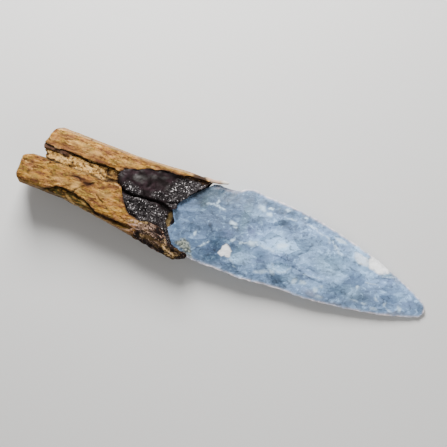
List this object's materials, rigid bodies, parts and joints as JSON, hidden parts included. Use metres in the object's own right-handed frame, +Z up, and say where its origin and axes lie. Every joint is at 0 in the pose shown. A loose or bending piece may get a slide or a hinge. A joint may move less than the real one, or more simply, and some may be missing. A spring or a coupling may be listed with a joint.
{
  "type": "hafted flint dagger",
  "caption": "Hafted flint dagger, lying on its back: a leaf-shaped flaked blade set with dark birch tar in the split end of a short wooden stem.",
  "frame": {"origin": "under the middle of the dagger's bounding box, on the surface that it lies on", "axes": "+X along the dagger to the blade's point, +Y across the broad face to the handle's upper strip, +Z up; the broad face looks up, tipped about five degrees towards the point"},
  "size_m": [0.2002, 0.0434, 0.0243],
  "materials": {
    "flint": "satin",
    "elder_wood": "matte",
    "birch_tar": "satin"
  },
  "bodies": {
    "root": {"flint_blade": "flint", "wood_handle": "elder_wood", "birch_tar": "birch_tar"}
  },
  "joints": []
}
